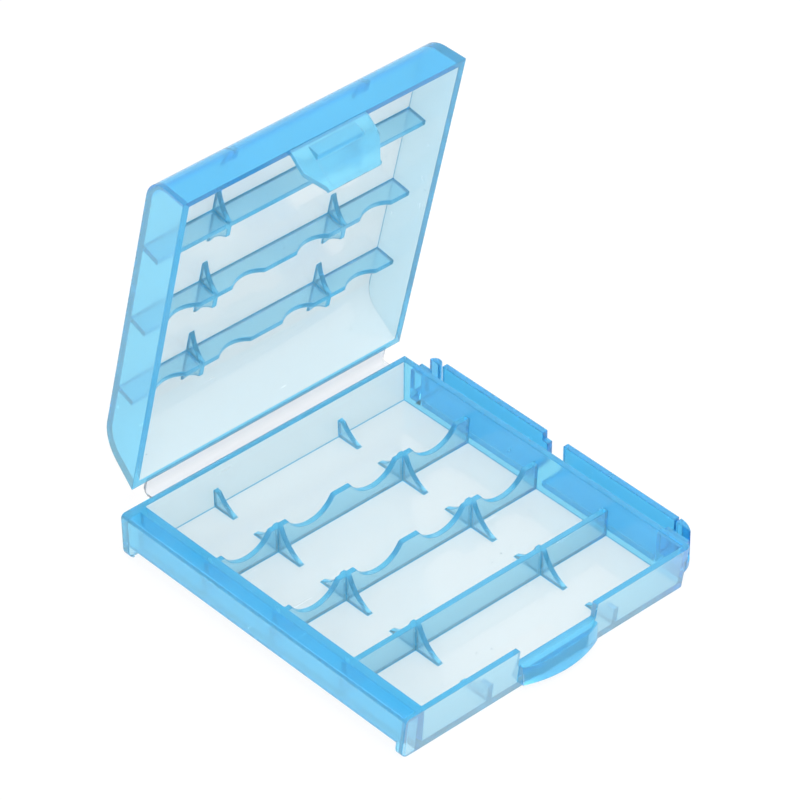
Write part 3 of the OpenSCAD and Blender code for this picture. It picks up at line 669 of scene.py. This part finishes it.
def lid_finish_and_shade(normal, at):
    """The finish and painted shade of a face of the lid, measured forward and up from the fold
    line.
    """
    forward, up = [(at - FOLD / MM).dot(axis) for axis in (LID_FORWARD, PANEL_UP)]
    along, upward = normal.dot(LID_FORWARD), normal.dot(PANEL_UP)
    # Painted shade and finish: side walls, rear wall and ribs lie between the pale panel and
    # the painted wall blue.
    if abs(normal.x) > MOSTLY and at.x > LID_SIDE_X:
        return SIDE_TONE
    if forward < LID_REAR_U and abs(normal.x) < 0.5 and up > LID_RIM_UP:
        return REAR_TONE
    # Painted shade: the lid's front wall is painted the deepest blue.
    if forward > LID_FRONT_U:
        return RAIL_SHADE
    if abs(upward) > SQUARELY and up > LID_IN - 0.2:
        return POLISHED
    # Painted shade: bevels and the ends of the hanging ribs and fins are painted the deepest
    # blue.
    if on_edge(normal.x, along, upward) or upward < -MOSTLY:
        return EDGE_SHADE
    return RIB_TONE if abs(along) > MOSTLY or abs(at.x) < FINS_X else MATT_SHADED


# Each face stores its roughness and its painted shade as one number.
for piece, finish_and_shade_at in ((tray, tray_finish_and_shade), (lid, lid_finish_and_shade),
                         (tab, lambda normal, at: MATT_SHADED), (strap, lambda normal, at: POLISHED)):
    marks = piece.data.attributes.new("finish_and_shade", "FLOAT", "FACE")
    for face in piece.data.polygons:
        marks.data[face.index].value = finish_and_shade_at(face.normal, face.center / MM)
    print(piece.name, "polished faces:", sum(1 for mark in marks.data if mark.value > 0))

# %% [markdown]
# The plastic is polypropylene with a light blue dye. Its surface has faint flow lines, hair
# scratches and specks of dust, and one node group makes all of them, so that each material
# can have its own amount. The group also turns the number of each face into a roughness and
# into a colour that holds painted shade. It puts out values only, and the shaders stay in the
# materials.

# %% Node group: moulded surface
FLOW_TURN, FLOW_SCALE = (0, 0, 0.3), (70, 180, 120)
HAIR_TURN, HAIR_SCALE = (0.4, 0.2, 0.7), (55, 2600, 700)
GRAIN_SCALE, PATCH_SCALE = 1900, 90
SPECK_SCALE, CLUSTER_SCALE = 300, 160
FLOW_ROUGH, SCRATCH_ROUGH = 0.06, 0.3
FLOW_HIGH, GRAIN_HIGH, SCRATCH_DEEP = 0.8, 0.02, 0.15


def math_node(tree, operation, first, second):
    """One Math node. Each value is a socket to link or a number to set."""
    node = tree.nodes.new("ShaderNodeMath")
    node.operation = operation
    node.use_clamp = operation in ("MULTIPLY", "ADD")
    for socket, value in zip(node.inputs, (first, second)):
        if hasattr(value, "is_output"):
            tree.links.new(value, socket)
        else:
            socket.default_value = value
    return node.outputs[0]


def range_node(tree, value, from_min, from_max, to_min, to_max):
    """One Map Range node, which stretches and clamps a value."""
    node = tree.nodes.new("ShaderNodeMapRange")
    tree.links.new(value, node.inputs["Value"])
    for name, number in zip(("From Min", "From Max", "To Min", "To Max"),
                            (from_min, from_max, to_min, to_max)):
        node.inputs[name].default_value = number
    return node.outputs["Result"]


def noise_node(tree, vector, scale, detail):
    """One Noise Texture node."""
    node = tree.nodes.new("ShaderNodeTexNoise")
    tree.links.new(vector, node.inputs["Vector"])
    node.inputs["Scale"].default_value = scale
    node.inputs["Detail"].default_value = detail
    return node.outputs["Fac"]


def mapped(tree, vector, rotation, scale):
    """One Mapping node, which turns and stretches the coordinates."""
    node = tree.nodes.new("ShaderNodeMapping")
    tree.links.new(vector, node.inputs["Vector"])
    node.inputs["Rotation"].default_value = rotation
    node.inputs["Scale"].default_value = scale
    return node.outputs["Vector"]


def mix_node(tree, kind, factor, first, second):
    """One Mix node, for colours (RGBA) or numbers (FLOAT)."""
    node = tree.nodes.new("ShaderNodeMix")
    node.data_type = kind
    sockets = [s for s in node.inputs if s.enabled]
    for socket, value in zip(sockets, (factor, first, second)):
        tree.links.new(value, socket)
    return next(s for s in node.outputs if s.enabled)


surface = bpy.data.node_groups.new("moulded_surface", "ShaderNodeTree")
for name, kind in (("Painted Shade Color", "NodeSocketColor"), ("Wall Color", "NodeSocketColor"),
                   ("Panel Color", "NodeSocketColor"), ("Dust Color", "NodeSocketColor"),
                   ("Dust", "NodeSocketFloat"), ("Scratches", "NodeSocketFloat"),
                   ("Wall Roughness", "NodeSocketFloat"),
                   ("Panel Roughness", "NodeSocketFloat")):
    surface.interface.new_socket(name, in_out="INPUT", socket_type=kind)
for name, kind in (("Color", "NodeSocketColor"), ("Roughness", "NodeSocketFloat"),
                   ("Height", "NodeSocketFloat")):
    surface.interface.new_socket(name, in_out="OUTPUT", socket_type=kind)
given = surface.nodes.new("NodeGroupInput").outputs
result = surface.nodes.new("NodeGroupOutput").inputs
place = surface.nodes.new("ShaderNodeTexCoord").outputs["Object"]
finish_and_shade_node = surface.nodes.new("ShaderNodeAttribute")
finish_and_shade_node.attribute_name = "finish_and_shade"
finish_and_shade = finish_and_shade_node.outputs["Fac"]

flow = noise_node(surface, mapped(surface, place, FLOW_TURN, FLOW_SCALE), 1.0, 3)
grain = noise_node(surface, place, GRAIN_SCALE, 2)
hair = noise_node(surface, mapped(surface, place, HAIR_TURN, HAIR_SCALE), 1.0, 1)
patches = noise_node(surface, place, PATCH_SCALE, 0)
hair_mask = math_node(surface, "MULTIPLY", range_node(surface, hair, 0.76, 0.80, 0, 1),
                      range_node(surface, patches, 0.5, 0.6, 0, 1))
specks = surface.nodes.new("ShaderNodeTexVoronoi")
surface.links.new(place, specks.inputs["Vector"])
specks.inputs["Scale"].default_value = SPECK_SCALE
clusters = noise_node(surface, place, CLUSTER_SCALE, 0)
speck_mask = math_node(surface, "MULTIPLY",
                       range_node(surface, specks.outputs["Distance"], 0.05, 0.03, 0, 1),
                       range_node(surface, clusters, 0.58, 0.6, 0, 1))
dust = math_node(surface, "MULTIPLY", speck_mask, given["Dust"])
scratch = math_node(surface, "MULTIPLY", hair_mask, given["Scratches"])

# Painted shade: faces below 0 go to the deep shade colour, and faces towards 1 to the pale
# panel colour.
painted_shade_weight = range_node(surface, finish_and_shade, 0, -1, 0, 1)
wall = mix_node(surface, "RGBA", painted_shade_weight, given["Wall Color"], given["Painted Shade Color"])
clean = mix_node(surface, "RGBA", finish_and_shade, wall, given["Panel Color"])
surface.links.new(mix_node(surface, "RGBA", dust, clean, given["Dust Color"]),
                  result["Color"])
gloss = mix_node(surface, "FLOAT", finish_and_shade, given["Wall Roughness"], given["Panel Roughness"])
rough = math_node(surface, "ADD", gloss,
                  math_node(surface, "ADD", range_node(surface, flow, 0.3, 0.7, 0, FLOW_ROUGH),
                            math_node(surface, "MULTIPLY", scratch, SCRATCH_ROUGH)))
surface.links.new(rough, result["Roughness"])
height = math_node(surface, "SUBTRACT",
                   math_node(surface, "ADD", math_node(surface, "MULTIPLY", flow, FLOW_HIGH),
                             math_node(surface, "MULTIPLY", grain, GRAIN_HIGH)),
                   math_node(surface, "MULTIPLY", scratch, SCRATCH_DEEP))
surface.links.new(height, result["Height"])
print("moulded_surface has", len(surface.nodes), "nodes")

# %% [markdown]
# A Principled shader with transmission bends the light at each face, and a Volume Absorption
# takes out red for each millimetre inside. So a wall seen face on is nearly clear, and one
# seen along its length is deep blue. The drawn film of the hinge is the same plastic, but so
# thin that its dye hardly shows. The CAD nodes get the same two materials.

# %% Materials
REFRACTION = 1.49
RELIEF_DEPTH = 0.1
DUST_COLOR = (0.3, 0.4, 0.5)


def plastic(name, painted_shade, wall, panel, roughness, dust_amount, scratches, transmission, bump,
            absorb, density):
    """A dyed clear plastic. absorb is what the dye lets through, and density is per metre."""
    material = bpy.data.materials.new(name)
    material.use_nodes = True
    tree = material.node_tree
    tree.nodes.clear()
    marks = tree.nodes.new("ShaderNodeGroup")
    marks.node_tree = surface
    for socket, color in (("Painted Shade Color", painted_shade), ("Wall Color", wall), ("Panel Color", panel),
                          ("Dust Color", DUST_COLOR)):
        marks.inputs[socket].default_value = (*color, 1)
    for socket, value in (("Wall Roughness", roughness[0]), ("Panel Roughness", roughness[1]),
                          ("Dust", dust_amount), ("Scratches", scratches)):
        marks.inputs[socket].default_value = value
    shader = tree.nodes.new("ShaderNodeBsdfPrincipled")
    tree.links.new(marks.outputs["Color"], shader.inputs["Base Color"])
    tree.links.new(marks.outputs["Roughness"], shader.inputs["Roughness"])
    shader.inputs["Transmission Weight"].default_value = transmission
    shader.inputs["IOR"].default_value = REFRACTION
    relief = tree.nodes.new("ShaderNodeBump")
    relief.inputs["Strength"].default_value = bump
    relief.inputs["Distance"].default_value = RELIEF_DEPTH * MM
    tree.links.new(marks.outputs["Height"], relief.inputs["Height"])
    tree.links.new(relief.outputs["Normal"], shader.inputs["Normal"])
    dye = tree.nodes.new("ShaderNodeVolumeAbsorption")
    dye.inputs["Color"].default_value = (*absorb, 1)
    dye.inputs["Density"].default_value = density
    output = tree.nodes.new("ShaderNodeOutputMaterial")
    tree.links.new(shader.outputs["BSDF"], output.inputs["Surface"])
    tree.links.new(dye.outputs["Volume"], output.inputs["Volume"])
    return material


# Painted shade: the two blues paint the walls, ribs, edges, rails and catch darker than the
# pale panel colour.
blue = plastic("dyed_polypropylene", painted_shade=(0.08, 0.58, 0.96), wall=(0.34, 0.81, 1.0),
               panel=(0.91, 0.92, 0.93), roughness=(0.12, 0.08), dust_amount=1.0,
               scratches=1.0, transmission=0.8, bump=0.12, absorb=(0.0, 0.80, 0.995),
               density=140)
film = plastic("drawn_hinge_film", painted_shade=(0.8, 0.85, 0.9), wall=(0.93, 0.95, 0.98),
               panel=(0.93, 0.95, 0.98), roughness=(0.14, 0.14), dust_amount=0.3,
               scratches=1.0, transmission=0.92, bump=0.5, absorb=(0.5, 0.75, 0.9),
               density=60)
for piece, material in ((tray, blue), (lid, blue), (tab, blue), (strap, film)):
    piece.data.materials.clear()
    piece.data.materials.append(material)
    print(piece.name, "is", material.name)

# %% [markdown]
# The tray and the lid ride on their CAD bodies, and each piece stands for the CAD nodes that
# it shows. The tab is moulded on the lid's rim; it and the strap stay where they are drawn and
# ride on no body.

# %% Ride and replace
BODIES = frame["record"]["behaviour"]["bodies"]
STRAP_NODES = ["hinge_flange_tray", "hinge_web", "hinge_flange_lid"]


def at(y, z):
    return (0, y * MM, z * MM)


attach(tray, "tray")
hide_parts(*[node for node in BODIES["tray"] if node not in STRAP_NODES])
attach(lid, "lid")
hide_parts(*[node for node in BODIES["lid"] if node not in STRAP_NODES])
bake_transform(tab)
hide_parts(*BODIES["latch"])
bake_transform(strap)
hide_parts(*STRAP_NODES)
for node in frame["nodes"].values():
    node.data.materials.clear()
    node.data.materials.append(film if node.name in STRAP_NODES else blue)
print("pieces:", tray.name, lid.name, tab.name, strap.name)

# %% [markdown]
# The case stands on a white floor under a white sky, as in a product photograph. Camera rays
# see a plain white there, and so do rays through the plastic or off its gloss. The floor
# keeps a part of its own shading, and with that the shadow of the case.

# %% Floor and sky
FLOOR_SIZE, FLOOR_DROP = 8, 0.02
FLOOR_CARD = (0.92, 0.92, 0.93)
FLOOR_WHITE = 0.9     # how much of the floor is plain white to the rays named above
SKY_LIGHT = 0.95      # how strongly the sky lights the case


def sees_background(tree):
    """1 for rays from the camera, from gloss and through the plastic, and 0 for lighting."""
    path = tree.nodes.new("ShaderNodeLightPath")
    total = math_node(tree, "MAXIMUM", path.outputs["Is Camera Ray"],
                      path.outputs["Is Glossy Ray"])
    return math_node(tree, "MAXIMUM", total, path.outputs["Is Transmission Ray"])


clear_selection()
bpy.ops.mesh.primitive_plane_add(size=FLOOR_SIZE, location=(0, 0, -FLOOR_DROP * MM))
floor = named("studio_floor")
floor_paint = bpy.data.materials.new("white_floor")
floor_paint.use_nodes = True
tree = floor_paint.node_tree
tree.nodes.clear()
card = tree.nodes.new("ShaderNodeBsdfDiffuse")
card.inputs["Color"].default_value = (*FLOOR_CARD, 1)
glow = tree.nodes.new("ShaderNodeEmission")
both = tree.nodes.new("ShaderNodeMixShader")
tree.links.new(math_node(tree, "MULTIPLY", sees_background(tree), FLOOR_WHITE), both.inputs[0])
tree.links.new(card.outputs[0], both.inputs[1])
tree.links.new(glow.outputs[0], both.inputs[2])
out = tree.nodes.new("ShaderNodeOutputMaterial")
tree.links.new(both.outputs[0], out.inputs["Surface"])
floor.data.materials.append(floor_paint)

world = bpy.data.worlds.new("white_sky")
bpy.context.scene.world = world
world.use_nodes = True
tree = world.node_tree
sky = tree.nodes["Background"]
sky.inputs["Color"].default_value = (1, 1, 1, 1)
strength = range_node(tree, sees_background(tree), 0, 1, SKY_LIGHT, 1)
tree.links.new(strength, sky.inputs["Strength"])
print("floor", floor.name, "under", world.name)

# %% [markdown]
# Three square lamps stand round the case: the key above and in front, one low on the left,
# which lights the channel's skirt, and a weaker one on the right for the rails. Each of them
# is placed by the direction from which it shines. The Standard view keeps white as white.

# %% Lamps
LAMP_DISTANCE = 1.2
LAMPS = (("key_softbox", (-0.2, -0.5, 1.0), 0.7, 7),
         ("left_softbox", (-1.0, -0.3, 0.45), 0.7, 5),
         ("right_softbox", (1.0, 0.1, 0.6), 0.6, 3))
for name, direction, size, power in LAMPS:
    lamp = bpy.data.lights.new(name, "AREA")
    lamp.shape = "SQUARE"
    lamp.size = size
    lamp.energy = power
    softbox = bpy.data.objects.new(name, lamp)
    bpy.context.scene.collection.objects.link(softbox)
    outward = Vector(direction).normalized()
    softbox.location = LOOK_AT + outward * LAMP_DISTANCE
    softbox.rotation_euler = (-outward).to_track_quat("-Z", "Y").to_euler()
    print(name, power, "W")
bpy.context.scene.view_settings.view_transform = "Standard"

# %% [markdown]
# Light is caught inside a clear wall and runs along it until it meets an edge. It needs more
# bounces than an opaque scene does, or the thick parts go grey.

# %% Light paths
LIGHT_BOUNCES = 48
cycles = bpy.context.scene.cycles
cycles.max_bounces = LIGHT_BOUNCES
cycles.transmission_bounces = LIGHT_BOUNCES
cycles.glossy_bounces = LIGHT_BOUNCES
cycles.diffuse_bounces = LIGHT_BOUNCES
print("bounces:", cycles.transmission_bounces)
